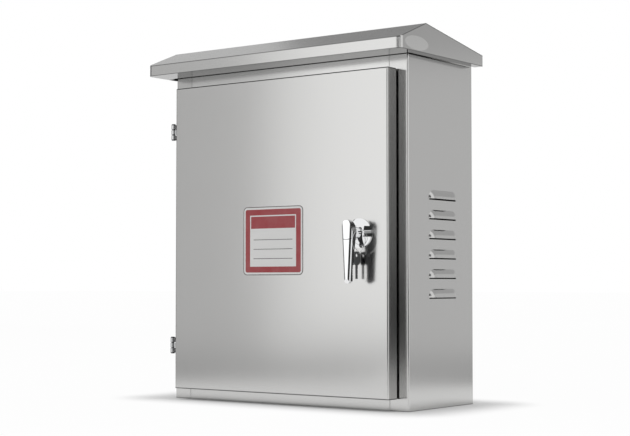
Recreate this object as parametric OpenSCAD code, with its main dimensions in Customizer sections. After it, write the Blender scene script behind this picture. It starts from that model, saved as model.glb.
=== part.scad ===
// Stainless meter box with a gable rain hood, an overlay door on two pin hinges and a lever lock.
// Millimetres, +Z up, the door faces -Y, origin at the centre of the cabinet's base.

/* [Cabinet] */
// Width of the cabinet
body_w = 500; // [440:5:600]
// Depth of the cabinet
body_d = 200; // [180:5:260]
// Thickness of the stainless sheet
sheet = 1.2; // [1:0.1:1.5]
// Outside radius of the cabinet's upright bends
bend_r = 3; // [2.5:0.5:5]
// Width of the front posts beside the door opening
post_w = 36; // [34:1:40]
// Height of the sill below the door opening
sill_h = 36; // [32:1:42]
// Height of the header above the door opening, up to the soffit
header_h = 39; // [36:1:46]
// Seam between the posts and the panels' front flanges
seam = 0.8; // [0.4:0.1:1.2]
// Projection of the sealing lip round the opening
lip_l = 18; // [14:1:19]
// Height of the bottom panel above the base edge
base_recess = 10; // [8:1:16]

/* [Hood] */
// Height of the hood's lower edge above the base
hood_z = 575; // [500:5:700]
// Overhang of the hood at each side
hood_side = 21; // [16:1:40]
// Overhang of the hood at the front
hood_front = 54; // [50:1:80]
// Height of the hood's fascia
fascia_h = 18.7; // [14:0.1:26]
// Rise of the ridge above the fascia
ridge_rise = 30.6; // [24:0.2:44]
// Distance of the ridge behind the fascia
ridge_back = 75.4; // [60:0.2:90]
// Corner radius between fascia and gable
hood_r = 10; // [4:0.5:14]
// Length of the open relief in the soffit beside the left post
relief_l = 21; // [12:1:30]
// Gap between soffit and cabinet
soffit_gap = 5; // [2:0.5:8]
// Gap between the hood's rear slope and the cabinet's top edge
hood_seat = 0.2; // [0.1:0.1:0.5]

/* [Hood brackets] */
// Thickness of a bracket
bracket_t = 2; // [1.5:0.5:3]
// Width of a bracket
bracket_w = 30; // [20:1:40]
// Length of a bracket's foot
bracket_foot = 26; // [24:1:40]
// Distance of each bracket from the middle
bracket_x = 150; // [100:5:180]
// Distance of the brackets behind the front
bracket_back = 45; // [35:1:60]

/* [Louvres] */
// Number of louvres on each side
louvre_n = 6; // [3:1:8]
// Length of a louvre
louvre_l = 85; // [60:1:110]
// Height of a louvre
louvre_h = 14; // [11:0.5:18]
// Projection of a louvre's lip
louvre_out = 6; // [5:0.5:7]
// Spacing of the louvres
louvre_pitch = 32.45; // [28:0.05:40]
// Height of the lowest louvre's lip
louvre_z = 181.5; // [120:0.5:220]
// Height of the slit below a louvre's lip
louvre_slit = 2; // [1:0.5:3]
// Offset of the louvres towards the back
louvre_y = 3; // [-10:1:10]

/* [Wall fixing and cables] */
// Sideways spacing of the wall holes
wall_x = 400; // [380:5:410]
// Upright spacing of the wall holes
wall_z = 500; // [460:5:510]
// Height of the lowest wall holes
wall_low = 46; // [40:1:60]
// Diameter of the wall holes
wall_hole_d = 10; // [8:0.5:12]
// Diameter of a grommet's cable bore
cable_d = 20; // [14:1:24]
// Wall of a grommet
grommet_wall = 3; // [2:0.5:5]
// Height of a grommet's flange
grommet_flange = 3; // [2:0.5:5]
// Distance of each grommet from the middle
cable_x = 70; // [40:1:120]

/* [Mounting plate] */
// Width of the mounting plate
plate_w = 370; // [340:5:375]
// Height of the mounting plate
plate_h = 460; // [420:5:465]
// Thickness of the mounting plate
plate_t = 2; // [1.5:0.5:3]
// Distance of the plate from the back wall
plate_off = 15; // [10:1:25]
// Corner radius of the plate
plate_r = 6; // [3:1:12]
// Distance of the studs from the plate's edges
stud_in = 18; // [14:1:30]
// Thread diameter of the studs
stud_d = 8; // [6:1:8]

/* [Door] */
// Distance of the door from the cabinet's left side
door_left = 24.2; // [22:0.2:26]
// Distance of the door from the cabinet's right side
door_right = 20.6; // [18:0.2:24]
// Distance of the door below the soffit
door_top = 23.1; // [18:0.1:25]
// Height of the door's lower edge
door_z = 19.4; // [14:0.2:22]
// Depth of the door's tray
door_d = 25.2; // [24:0.2:28]
// Gap between door and frame
door_gap = 3.6; // [3:0.1:5]
// Width of the return at the tray's back edge
door_return = 4.4; // [3:0.1:5]
// Outside radius of the door's bends
door_r = 2.5; // [2:0.1:4]
// Width of the gasket
gasket_w = 10; // [8:0.5:12]
// Gap between gasket and lip
gasket_gap = 0.3; // [0.2:0.1:0.6]
// Width of the stiffener's channel
stiff_w = 40; // [30:1:60]
// Depth of the stiffener's channel
stiff_d = 12; // [8:1:14]

/* [Hinges] */
// Outside radius of a knuckle
knuckle_r = 4; // [3.8:0.1:5]
// Length of a knuckle
knuckle_l = 9.2; // [8:0.2:14]
// Gap between two knuckles
knuckle_gap = 1.2; // [0.8:0.1:2]
// Radius of a hinge pin
pin_r = 2; // [1.6:0.1:2.4]
// Distance of the hinge axis in front of the frame
hinge_out = 8; // [7.5:0.5:10]
// Thickness of a hinge leaf
leaf_t = 2; // [1.5:0.1:2.5]
// Length of a leaf on the cabinet's side
leaf_l = 24; // [16:1:30]
// Distance of each hinge from the end of the door
hinge_end = 75; // [60:1:120]

/* [Lock] */
// Distance of the lock from the door's right edge
lock_edge = 54.4; // [50:0.2:70]
// Radius of the rosette
rosette_r = 24; // [20:0.5:28]
// Thickness of the rosette's rim
rosette_rim = 2; // [1.5:0.5:4]
// Height of the rosette's dome
rosette_dome = 8; // [5:0.5:9]
// Radius of the lock's neck
neck_r = 8.8; // [8:0.1:10]
// Length of the neck
neck_l = 22; // [20:0.5:25]
// Radius of the threaded barrel
barrel_r = 9.5; // [8:0.1:10]
// Radius of the lever's spindle
spindle_r = 4; // [3.5:0.1:5]
// Distance across the flats of the back nut
back_nut_af = 27; // [25:1:30]
// Thickness of the back nut
back_nut_h = 6; // [4:0.5:8]
// Radius of the key plug
plug_r = 4.6; // [4:0.1:5]

/* [Lever] */
// Width of the lever
lever_w = 20; // [18:0.5:22]
// Height of the lever above the lock's axis
lever_up = 21; // [20:0.5:24]
// Length of the lever below the lock's axis
lever_down = 81; // [65:1:95]
// Length of the lever's hub between the neck and the lever's back
hub_l = 2.1; // [1.5:0.1:5]
// Depth of the lever at its head
head_depth = 13.6; // [12.6:0.2:16]
// Depth of the lever at its tip
tip_depth = 7; // [6:0.5:9]
// Height of the lever's egg-shaped end
lever_round = 20; // [14:0.5:20]
// Depth of the head's rounded back corner
head_r = 6.5; // [4:0.5:7]
// Width of the lever at its tip
tip_w = 11; // [10:0.5:13]
// Slant of the lever's tip
tip_slant = 7; // [3:0.5:9]
// Projection of the hook behind the tip
tip_hook = 3; // [1:0.5:5]
// Radius of the lever's rounded front edges
lever_edge = 5; // [3:0.5:5]
// Rounding of the front edge at the top of the lever
lever_brow = 2; // [1:0.5:4]
// Thickness of the keyhole cover
cover_t = 3; // [2.5:0.1:3.5]
// Distance of the cover's pin above the lock's axis
cover_pin_up = 14; // [12:0.5:15]
// Radius of the cover's pin
cover_pin_r = 1.5; // [1:0.1:2]
// Reach of the cover below its pin
cover_reach = 25; // [22:0.5:30]

/* [Cam] */
// Thickness of the cam
cam_t = 3; // [2:0.5:4]
// Width of the cam
cam_w = 20; // [16:1:24]
// Reach of the turned cam behind the post
cam_overlap = 13; // [8:1:16]
// Gap between the turned cam and the post
cam_gap = 1.8; // [1:0.1:3]

/* [Keys and label] */
// Radius of the key ring
ring_r = 22; // [20:0.5:24]
// Radius of the ring's wire
wire_r = 0.6; // [0.5:0.1:1]
// Width of a key's bow
bow_w = 16; // [14:0.5:20]
// Height of a key's bow
bow_h = 22; // [18:0.5:26]
// Length of a key
key_l = 44; // [38:1:50]
// Thickness of a key
key_t = 2; // [1.6:0.1:2.4]
// Turn of the two keys towards the front
key_turn = 5; // [0:1:30]
// Angle from the ring's lowest point to each key
key_apart = 13; // [8:0.5:18]
// Width of the blank label
label_w = 128; // [80:1:160]
// Height of the blank label
label_h = 116; // [60:1:160]
// Thickness of the label
label_t = 0.3; // [0.2:0.1:0.6]
// Offset of the label from the door's middle
label_x = -6; // [-20:1:20]
// Offset of the label below the door's middle
label_drop = 9; // [0:1:30]

/* [Clearances] */
// Running clearance between a shaft and its hole
run_gap = 0.05; // [0.02:0.01:0.08]
// Gap between pieces that move past each other
move_gap = 0.3; // [0.2:0.1:0.5]
// Clearance of a fixing in its hole
bolt_gap = 0.3; // [0.2:0.1:0.6]

/* [Hidden] */
$fn = 64;
eps = 0.5;
front_y = -body_d / 2;
back_y = body_d / 2;
open_w = body_w - 2 * post_w;
open_top = hood_z - header_h;

// The hood's outer section, from the fascia over the ridge to the rear edge
hood_y = front_y - hood_front;
hood_w = body_w + 2 * hood_side;
eave_z = hood_z + fascia_h;
ridge_y = hood_y + ridge_back;
ridge_z = eave_z + ridge_rise;
front_slope = ridge_rise / ridge_back;
rear_slope = ridge_rise / (back_y - ridge_y);
front_drop = sheet * sqrt(1 + front_slope * front_slope);
rear_drop = sheet * sqrt(1 + rear_slope * rear_slope);
inner_ridge_y = ridge_y + (front_drop - rear_drop) / (front_slope + rear_slope);
function roof_under(y) = ridge_z - rear_slope * (y - ridge_y) - rear_drop;
function fascia_under(y) = eave_z + front_slope * (y - hood_y) - front_drop;
body_h = roof_under(back_y) - hood_seat;

// A louvre's lip stands out along an arc that starts at the wall
louvre_r = (louvre_h * louvre_h + louvre_out * louvre_out) / (2 * louvre_out);
louvre_in = louvre_r - louvre_out;
louvre_mid = louvre_l - 2 * louvre_h;
throat_r = louvre_h - sheet;

// The door's tray and its middle
door_w = body_w - door_left - door_right;
door_x = (door_left - door_right) / 2;
door_h = hood_z - door_top - door_z;
door_mid = door_z + door_h / 2;
door_y = front_y - door_gap - door_d;
gasket_t = door_d + door_gap - sheet - lip_l - gasket_gap;

hinge_x = -body_w / 2;
hinge_y = front_y - hinge_out;
hinge_h = 3 * knuckle_l;
hinge_low = door_z + hinge_end;
hinge_high = door_z + door_h - hinge_end;

// Distances along the lock's axis are measured outwards from the door's face
lock_x = body_w / 2 - door_right - lock_edge;
lock_z = door_mid;
hub_o = neck_l + move_gap;
lever_front = hub_o + hub_l + head_depth;
plug_o = hub_o + 3;
seat_o = lever_front - cover_t;
pin_in = 0.6 * cover_t;
cam_o = door_y - (front_y + sheet + cam_gap);
cam_l = body_w / 2 - post_w - lock_x + cam_overlap;
tenon = 1.4 * spindle_r;
cam_screw_r = 2;
cam_washer_t = 1;
ring_z = lock_z + neck_r + wire_r + run_gap - ring_r;
ring_o = (rosette_rim + rosette_dome + neck_l) / 2;
key_hole_r = 3;
key_web = 3;
key_x = ring_r * sin(key_apart);
key_hang = ring_z - ring_r * cos(key_apart) + wire_r + 2 * move_gap - key_hole_r;

stud_x = plate_w / 2 - stud_in;
stud_z = plate_h / 2 - stud_in;
plate_z = wall_low + wall_z / 2;
nut_h = 0.8 * stud_d;
washer_t = 1.6;
grommet_r = cable_d / 2 + grommet_wall;
cable_y = 20;
earth_x = -body_w / 2 + 60;
earth_y = back_y - 50;
bolt_d = 6;
bolt_y = front_y + bracket_back + 0.6 * bracket_foot;

steel = "#c9cbcc";
bright = "#e4e6e8";
dark = "#2b2c2e";
zinc = "#b7bcbd";

// Shared shapes

module rounded_rect(w, h, r) {
    square([w - 2 * r, h], center = true);
    square([w, h - 2 * r], center = true);
    for (sx = [-1, 1], sy = [-1, 1])
        translate([sx * (w / 2 - r), sy * (h / 2 - r)]) circle(r);
}

// A rectangle below the X axis with its two lower corners rounded
module rounded_front(w, depth, r) {
    translate([-w / 2, r - depth]) square([w, depth - r]);
    translate([r - w / 2, -depth]) square([w - 2 * r, depth]);
    for (side = [-1, 1]) translate([side * (w / 2 - r), r - depth]) circle(r);
}

// Places a shape on the door: X stays, Y turns up, Z points out of the door
module on_door(x, z, out) {
    translate([x, door_y - out, z]) rotate([90, 0, 0]) children();
}

// Extrudes a section drawn in Y and Z over a width centred on x
module across(x, w) {
    translate([x - w / 2, 0, 0]) rotate([90, 0, 90]) linear_extrude(w) children();
}

module hex_prism(af, h) {
    cylinder(d = af / cos(30), h = h, $fn = 6);
}

module nut(d, h) {
    difference() {
        hex_prism(1.65 * d, h);
        translate([0, 0, -eps]) cylinder(d = d + 2 * run_gap, h = h + 2 * eps);
    }
}

module washer(d, h) {
    difference() {
        cylinder(d = 2.1 * d, h = h);
        translate([0, 0, -eps]) cylinder(d = d + 2 * bolt_gap, h = h + 2 * eps);
    }
}

// Cabinet

module wrap_plan() {
    difference() {
        rounded_rect(body_w, body_d, bend_r);
        rounded_rect(body_w - 2 * sheet, body_d - 2 * sheet, bend_r - sheet);
        translate([-open_w / 2, front_y - sheet]) square([open_w, 3 * sheet]);
    }
}

module louvre_profile() {
    intersection() {
        translate([0, -louvre_in]) difference() {
            circle(louvre_r);
            circle(louvre_r - sheet);
        }
        translate([0, -sheet]) square([louvre_h + 3 * sheet, louvre_out + 2 * sheet]);
    }
}

// One lanced louvre: a straight middle with a quarter dome at each end, open below
module louvre_shell() {
    translate([-louvre_mid / 2, 0, 0]) rotate([90, 0, 90]) linear_extrude(louvre_mid) louvre_profile();
    for (side = [0, 1])
        mirror([side, 0, 0]) translate([louvre_mid / 2, 0, 0]) rotate_extrude(angle = 90) louvre_profile();
}

module louvre_throat() {
    translate([0, 0, -3 * sheet]) linear_extrude(5 * sheet) intersection() {
        union() {
            square([louvre_mid, 2 * throat_r], center = true);
            for (side = [-1, 1]) translate([side * louvre_mid / 2, 0]) circle(throat_r);
        }
        translate([-louvre_l, 0]) square([2 * louvre_l, louvre_h]);
    }
    translate([-louvre_mid / 2 - throat_r, -louvre_slit, -3 * sheet])
        cube([louvre_mid + 2 * throat_r, louvre_slit + eps, 5 * sheet]);
}

module at_louvres() {
    for (side = [0, 1], i = [0 : louvre_n - 1])
        mirror([side, 0, 0])
            translate([body_w / 2, louvre_y, louvre_z + i * louvre_pitch]) rotate([90, 0, 90]) children();
}

module at_wall_holes() {
    for (sx = [-1, 1], up = [0, 1]) translate([sx * wall_x / 2, back_y, wall_low + up * wall_z]) children();
}

module body_wrap() {
    color(steel) {
        difference() {
            linear_extrude(body_h) wrap_plan();
            at_louvres() louvre_throat();
            at_wall_holes() rotate([90, 0, 0]) cylinder(d = wall_hole_d, h = 6 * sheet, center = true);
        }
        at_louvres() louvre_shell();
        for (side = [0, 1]) mirror([side, 0, 0])
            translate([open_w / 2, front_y - lip_l, sill_h - sheet])
                cube([sheet, lip_l + sheet, open_top - sill_h + 2 * sheet]);
    }
}

// A closing panel inside the wrap with a front flange between the posts and a lip at the opening
module closing_panel(panel_z, flange_z, flange_h, lip_z) {
    translate([0, 0, panel_z]) linear_extrude(sheet)
        rounded_rect(body_w - 2 * sheet, body_d - 2 * sheet, bend_r);
    translate([seam - open_w / 2, front_y, flange_z]) cube([open_w - 2 * seam, sheet, flange_h]);
    translate([-open_w / 2, front_y - lip_l, lip_z]) cube([open_w, lip_l + sheet, sheet]);
}

module top_panel() {
    color(steel) difference() {
        closing_panel(body_h - sheet, open_top, body_h - open_top, open_top);
        at_hood_bolts() translate([0, 0, -3 * sheet]) cylinder(d = bolt_d + 2 * bolt_gap, h = 6 * sheet);
    }
}

module bottom_panel() {
    color(steel) difference() {
        closing_panel(base_recess, 0, sill_h, sill_h - sheet);
        for (sx = [-1, 1]) translate([sx * cable_x, cable_y, 0])
            cylinder(r = grommet_r + bolt_gap, h = base_recess + 3 * sheet);
    }
}

module cable_grommet(side) {
    color(dark) translate([side * cable_x, cable_y, base_recess]) difference() {
        union() {
            translate([0, 0, -grommet_flange]) cylinder(r = grommet_r + grommet_flange, h = grommet_flange);
            cylinder(r = grommet_r, h = sheet);
            translate([0, 0, sheet]) cylinder(r = grommet_r + grommet_flange, h = grommet_flange);
        }
        translate([0, 0, -2 * grommet_flange]) cylinder(d = cable_d, h = 6 * grommet_flange);
    }
}

// Hood

// The hood's plan with rounded front corners, shrunk at the front and the sides
module hood_plan(inset, past_y) {
    translate([0, past_y, hood_z]) linear_extrude(2 * (ridge_z - hood_z))
        rounded_front(hood_w - 2 * inset, past_y - hood_y - inset, hood_r - inset);
}

module hood() {
    inner_y = hood_y + sheet;
    past_y = back_y + eps;
    color(steel) difference() {
        intersection() {
            across(0, hood_w) polygon([[hood_y, hood_z], [hood_y, eave_z], [ridge_y, ridge_z],
                [back_y, eave_z], [back_y, hood_z]]);
            hood_plan(0, back_y);
        }
        intersection() {
            across(0, hood_w) polygon([[inner_y, hood_z + sheet], [inner_y, fascia_under(inner_y)],
                [inner_ridge_y, fascia_under(inner_ridge_y)], [past_y, roof_under(past_y)],
                [past_y, hood_z + sheet]]);
            hood_plan(sheet, past_y);
        }
        translate([-body_w / 2 - soffit_gap, front_y - soffit_gap, hood_z - eps])
            cube([body_w + 2 * soffit_gap, body_d + 2 * soffit_gap, sheet + 2 * eps]);
        translate([-hood_w / 2 + sheet, front_y, hood_z - eps])
            cube([hood_side, relief_l, sheet + 2 * eps]);
    }
}

module at_hood_bolts() {
    for (sx = [-1, 1]) translate([sx * bracket_x, bolt_y, body_h]) children();
}

// A folded bracket with a foot on the top panel and a leg under the hood's rear slope
module hood_bracket(side) {
    y0 = front_y + bracket_back;
    y1 = y0 + bracket_t;
    y2 = y0 + bracket_foot;
    function leg(y) = roof_under(y) - run_gap;
    color(steel) difference() {
        across(side * bracket_x, bracket_w) polygon([[y0, body_h], [y2, body_h], [y2, body_h + bracket_t],
            [y1, body_h + bracket_t], [y1, leg(y1) - bracket_t], [y2, leg(y2) - bracket_t],
            [y2, leg(y2)], [y0, leg(y0)]]);
        at_hood_bolts() translate([0, 0, -eps])
            cylinder(d = bolt_d + 2 * bolt_gap, h = bracket_t + 2 * eps);
    }
}

module hood_bolts() {
    head_h = 0.65 * bolt_d;
    color(zinc) at_hood_bolts() {
        translate([0, 0, -sheet - head_h]) hex_prism(1.65 * bolt_d, head_h);
        translate([0, 0, -sheet]) cylinder(d = bolt_d, h = sheet + bracket_t + bolt_d);
    }
}

module hood_nuts() {
    color(zinc) at_hood_bolts() translate([0, 0, bracket_t]) nut(bolt_d, 0.8 * bolt_d);
}

// Mounting plate on four shouldered studs

module at_studs(off) {
    for (sx = [-1, 1], sz = [-1, 1])
        translate([sx * stud_x, back_y - sheet - off, plate_z + sz * stud_z]) rotate([90, 0, 0]) children();
}

module mounting_plate() {
    color(zinc) difference() {
        translate([0, back_y - sheet - plate_off, plate_z]) rotate([90, 0, 0])
            linear_extrude(plate_t) rounded_rect(plate_w, plate_h, plate_r);
        at_studs(plate_off) translate([0, 0, -eps])
            cylinder(d = stud_d + 2 * bolt_gap, h = plate_t + 2 * eps);
    }
}

module plate_studs() {
    color(zinc) at_studs(0) {
        cylinder(d = 1.8 * stud_d, h = plate_off);
        cylinder(d = stud_d, h = plate_off + plate_t + washer_t + nut_h + stud_d / 2);
    }
}

module plate_washers() {
    color(zinc) at_studs(plate_off + plate_t) washer(stud_d, washer_t);
}

module plate_nuts() {
    color(zinc) at_studs(plate_off + plate_t + washer_t) nut(stud_d, nut_h);
}

// Earthing stud on the bottom panel

module at_earth(up) {
    translate([earth_x, earth_y, base_recess + sheet + up]) children();
}

module earth_stud() {
    color("#c9a14a") at_earth(0) {
        cylinder(d = 2.1 * stud_d, h = washer_t);
        cylinder(d = stud_d, h = 3 * stud_d);
    }
}

module earth_washer() {
    color(zinc) at_earth(washer_t) washer(stud_d, washer_t);
}

module earth_nut() {
    color("#c9a14a") at_earth(2 * washer_t) nut(stud_d, nut_h);
}

// Hinges: the frame leaf has the outer knuckles with a collar each, the door leaf has the middle one

module knuckle(low, high) {
    translate([hinge_x, hinge_y, low]) cylinder(r = knuckle_r, h = high - low);
}

module pin_bore(mid) {
    translate([hinge_x, hinge_y, mid - hinge_h])
        cylinder(r = pin_r + run_gap, h = 2 * hinge_h);
}

module hinge_frame_leaf(mid) {
    low = mid - hinge_h / 2;
    outer_l = knuckle_l - knuckle_gap / 2;
    collar_l = knuckle_gap - move_gap;
    color(bright) difference() {
        union() {
            for (end = [0, 1]) translate([0, 0, mid]) mirror([0, 0, end]) {
                knuckle(hinge_h / 2 - outer_l, hinge_h / 2);
                translate([hinge_x, hinge_y, hinge_h / 2 - outer_l - collar_l])
                    cylinder(r = pin_r + 1, h = collar_l + eps);
                translate([hinge_x - leaf_t, hinge_y, hinge_h / 2 - outer_l])
                    cube([leaf_t, hinge_out + leaf_l, outer_l]);
            }
            translate([hinge_x - leaf_t, front_y + bend_r, low]) cube([leaf_t, leaf_l - bend_r, hinge_h]);
        }
        pin_bore(mid);
    }
}

module hinge_door_leaf(mid) {
    low = mid - (knuckle_l - knuckle_gap) / 2;
    high = mid + (knuckle_l - knuckle_gap) / 2;
    pad_y = door_y + door_r + 1;
    color(bright) difference() {
        union() {
            knuckle(low, high);
            translate([hinge_x, hinge_y - leaf_t / 2, low]) cube([door_left, leaf_t, high - low]);
            translate([hinge_x + door_left - leaf_t, pad_y, mid - hinge_h / 2])
                cube([leaf_t, hinge_y + leaf_t - pad_y, hinge_h]);
        }
        pin_bore(mid);
    }
}

// A pin with a shallow head above and below the knuckles
module hinge_pin(mid) {
    head = 1.2;
    color(bright) translate([hinge_x, hinge_y, mid - hinge_h / 2]) {
        cylinder(r = pin_r, h = hinge_h);
        for (z = [-head, hinge_h]) translate([0, 0, z]) cylinder(r = pin_r + 1.3, h = head);
    }
}

// Door

// A block in the door's outline with rounded front edges, shrunk on every side
module door_block(inset, r, depth) {
    w = door_w - 2 * inset;
    h = door_h - 2 * inset;
    front = door_y + inset;
    intersection() {
        translate([door_x, front + depth, door_mid - door_h]) linear_extrude(2 * door_h) {
            rounded_front(w, depth, r);
        }
        across(door_x, 2 * door_w) translate([front + depth, door_mid]) rotate(-90)
            rounded_front(h, depth, r);
    }
}

module door_panel() {
    hole = [door_w - 2 * sheet - 2 * door_return, door_h - 2 * sheet - 2 * door_return];
    color(steel) difference() {
        door_block(0, door_r, door_d);
        door_block(sheet, door_r - sheet, door_d - 2 * sheet);
        translate([door_x - hole[0] / 2, door_y + door_d - 2 * sheet, door_mid - hole[1] / 2])
            cube([hole[0], 4 * sheet, hole[1]]);
        on_door(lock_x, lock_z, -3 * sheet) cylinder(r = barrel_r + run_gap, h = 6 * sheet);
    }
}

module door_stiffener() {
    length = open_top - sill_h - 4 * gasket_w;
    flange = 12;
    section = [[-stiff_w / 2 - flange, 0], [-stiff_w / 2 - flange, sheet], [-stiff_w / 2, sheet],
        [-stiff_w / 2, stiff_d], [stiff_w / 2, stiff_d], [stiff_w / 2, sheet],
        [stiff_w / 2 + flange, sheet], [stiff_w / 2 + flange, 0]];
    color(steel) translate([0, door_y + sheet, (open_top + sill_h - length) / 2])
        linear_extrude(length) difference() {
            polygon(section);
            translate([-stiff_w / 2 + sheet, -sheet]) square([stiff_w - 2 * sheet, stiff_d]);
        }
}

module door_gasket() {
    lip_mid = open_w + sheet;
    lip_h = open_top - sill_h;
    color(dark) translate([0, door_y + sheet, sill_h + lip_h / 2]) rotate([-90, 0, 0])
        linear_extrude(gasket_t) difference() {
            square([lip_mid + gasket_w, lip_h + sheet + gasket_w], center = true);
            square([lip_mid - gasket_w, lip_h + sheet - gasket_w], center = true);
        }
}

module door_earth_stud() {
    color("#c9a14a") translate([door_x - door_w / 2 + 70, door_y + sheet, sill_h + 50])
        rotate([-90, 0, 0]) cylinder(d = 6, h = 14);
}

module blank_label() {
    color("#b3262b") on_door(door_x + label_x, door_mid - label_drop, 0)
        linear_extrude(label_t) rounded_rect(label_w, label_h, 8);
}

// Lock: the rosette, neck and barrel are one casting that the back nut clamps to the door

module lock_body() {
    dome_r = (rosette_r * rosette_r + rosette_dome * rosette_dome) / (2 * rosette_dome);
    color(bright) on_door(lock_x, lock_z, 0) difference() {
        union() {
            rotate_extrude() {
                square([rosette_r, rosette_rim]);
                translate([0, rosette_rim]) intersection() {
                    translate([0, rosette_dome - dome_r]) circle(dome_r);
                    square([rosette_r, rosette_dome]);
                }
            }
            cylinder(r = neck_r, h = neck_l);
            translate([0, 0, cam_o + move_gap]) cylinder(r = barrel_r, h = -cam_o);
        }
        translate([0, 0, 2 * cam_o]) cylinder(r = spindle_r + run_gap, h = 2 * neck_l - 2 * cam_o);
    }
}

module lock_back_nut() {
    color(zinc) on_door(lock_x, lock_z, -sheet - back_nut_h) difference() {
        hex_prism(back_nut_af, back_nut_h);
        translate([0, 0, -eps]) cylinder(r = barrel_r + run_gap, h = back_nut_h + 2 * eps);
    }
}

// A block that ends at one of the lever's tapered sides with a rounded front edge
module lever_side(side) {
    straight = lever_up - lever_round + lever_down;
    translate([side * (lever_w / 2 + run_gap), lever_up - lever_round, 0])
        rotate(-side * atan2((lever_w - tip_w) / 2, straight))
            translate([-side * 2 * lever_w, straight, 0]) rotate([90, 0, 0]) linear_extrude(3 * straight)
                mirror([0, 1]) rounded_front(4 * lever_w, lever_front, lever_edge);
}

// The lever's outer form: its front outline, its side outline and its rounded edges meet
module lever_form() {
    back = lever_front - head_depth;
    tip_back = lever_front - tip_depth;
    egg = [for (a = [0 : 6 : 180]) [cos(a) * lever_w / 2, lever_up + (sin(a) - 1) * lever_round]];
    cut = 0.3 * tip_w;
    cut_x = tip_w / 2 + cut * (lever_w - tip_w) / 2 / (lever_up - lever_round + lever_down);
    tip = [[-cut_x, cut - lever_down], [cut - tip_w / 2, -lever_down], [tip_w / 2 - cut, -lever_down],
        [cut_x, cut - lever_down]];
    heel = [for (a = [90 : -10 : 0])
        [lever_up + (cos(a) - 1) * 2 * head_r, back + (1 - sin(a)) * head_r]];
    brow = [for (a = [0 : 15 : 90])
        [lever_up + (cos(a) - 1) * lever_brow, lever_front + (sin(a) - 1) * lever_brow]];
    intersection() {
        linear_extrude(2 * lever_front) polygon(concat(egg, tip));
        across(0, 2 * lever_w) polygon(concat(heel, brow, [
            [tip_slant - lever_down, lever_front], [-lever_down, lever_front - tip_depth / 2],
            [-lever_down, tip_back - tip_hook], [2 * tip_hook - lever_down, tip_back - tip_hook],
            [4 * tip_hook - lever_down, tip_back], [-neck_r, back]]));
        lever_side(1);
        lever_side(-1);
    }
}

module cover_space(reach) {
    translate([0, cover_pin_up, 0]) cylinder(r = reach, h = 2 * lever_front);
}

module lever() {
    color(bright) on_door(lock_x, lock_z, 0) {
        difference() {
            union() {
                lever_form();
                translate([0, 0, hub_o]) cylinder(r = neck_r, h = lever_front - head_depth / 2 - hub_o);
            }
            translate([0, 0, seat_o]) cover_space(cover_reach + move_gap);
            translate([0, 0, plug_o]) cylinder(r = plug_r + run_gap, h = lever_front);
            translate([0, cover_pin_up, plug_o]) cylinder(r = cover_pin_r + run_gap, h = lever_front);
        }
        difference() {
            union() {
                translate([0, 0, cam_o]) cylinder(r = spindle_r, h = hub_o + eps - cam_o);
                translate([-tenon / 2, -tenon / 2, cam_o - cam_t]) cube([tenon, tenon, cam_t + eps]);
            }
            translate([0, 0, cam_o - 2 * cam_t])
                cylinder(r = cam_screw_r + run_gap, h = 2 * cam_t + 4 * cam_screw_r);
        }
    }
}

module keyhole_cover() {
    color(bright) on_door(lock_x, lock_z, 0) difference() {
        intersection() {
            lever_form();
            translate([0, 0, seat_o + move_gap]) cover_space(cover_reach);
        }
        translate([0, cover_pin_up, seat_o]) cylinder(r = cover_pin_r + run_gap, h = pin_in + move_gap);
    }
}

module cover_pin() {
    color(zinc) on_door(lock_x, lock_z + cover_pin_up, plug_o)
        cylinder(r = cover_pin_r, h = seat_o + pin_in - plug_o);
}

module lock_plug() {
    slot = [0.4 * plug_r, 1.5 * plug_r];
    color("#c9a14a") on_door(lock_x, lock_z, plug_o + move_gap) difference() {
        cylinder(r = plug_r, h = seat_o - plug_o - move_gap);
        translate([-slot[0] / 2, -slot[1] / 2, cover_t]) cube([slot[0], slot[1], lever_front]);
    }
}

// The cam stands upright while the door is free and turns behind the post to hold it

module cam() {
    fit = tenon + 2 * run_gap;
    color(zinc) on_door(lock_x, lock_z, cam_o - cam_t) difference() {
        linear_extrude(cam_t) {
            circle(cam_w / 2);
            translate([-cam_w / 2, 0]) square([cam_w, cam_l]);
        }
        translate([-fit / 2, -fit / 2, -eps]) cube([fit, fit, cam_t + 2 * eps]);
    }
}

module cam_washer() {
    color(zinc) on_door(lock_x, lock_z, cam_o - cam_t - cam_washer_t) difference() {
        cylinder(r = 2 * spindle_r, h = cam_washer_t);
        translate([0, 0, -eps]) cylinder(r = cam_screw_r + bolt_gap, h = cam_washer_t + 2 * eps);
    }
}

module cam_screw() {
    head_h = 1.6 * cam_screw_r;
    grip = cam_t + cam_washer_t;
    color(zinc) on_door(lock_x, lock_z, cam_o - grip) {
        translate([0, 0, -head_h]) hex_prism(4 * cam_screw_r, head_h);
        cylinder(r = cam_screw_r, h = grip + 3 * cam_screw_r);
    }
}

// Two keys hang on a wire ring that lies over the lock's neck

module key_ring() {
    color(bright) on_door(lock_x, ring_z, ring_o) rotate_extrude() translate([ring_r, 0]) circle(wire_r);
}

module key_outline() {
    blade_w = bow_w / 4;
    bow_up = key_hole_r + key_web - bow_h / 2;
    blade_end = key_hole_r + key_web - key_l;
    difference() {
        union() {
            translate([0, bow_up]) rounded_rect(bow_w, bow_h, 0.4 * bow_w);
            translate([-blade_w / 2, blade_end]) square([blade_w, bow_up - blade_end]);
        }
        circle(key_hole_r);
        for (i = [0 : 3])
            translate([blade_w / 2, blade_end + 3 + 4 * i]) rotate(45)
                square((i % 2 == 0) ? 1.6 : 2.2, center = true);
    }
}

// A key hangs beside the ring's lowest point, its flat side turned a little to the front
module hung_key(side) {
    color("#6d7073") translate([lock_x + side * key_x, door_y - ring_o, key_hang])
        rotate([90, 0, 90 - key_turn]) linear_extrude(key_t, center = true) key_outline();
}

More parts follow.
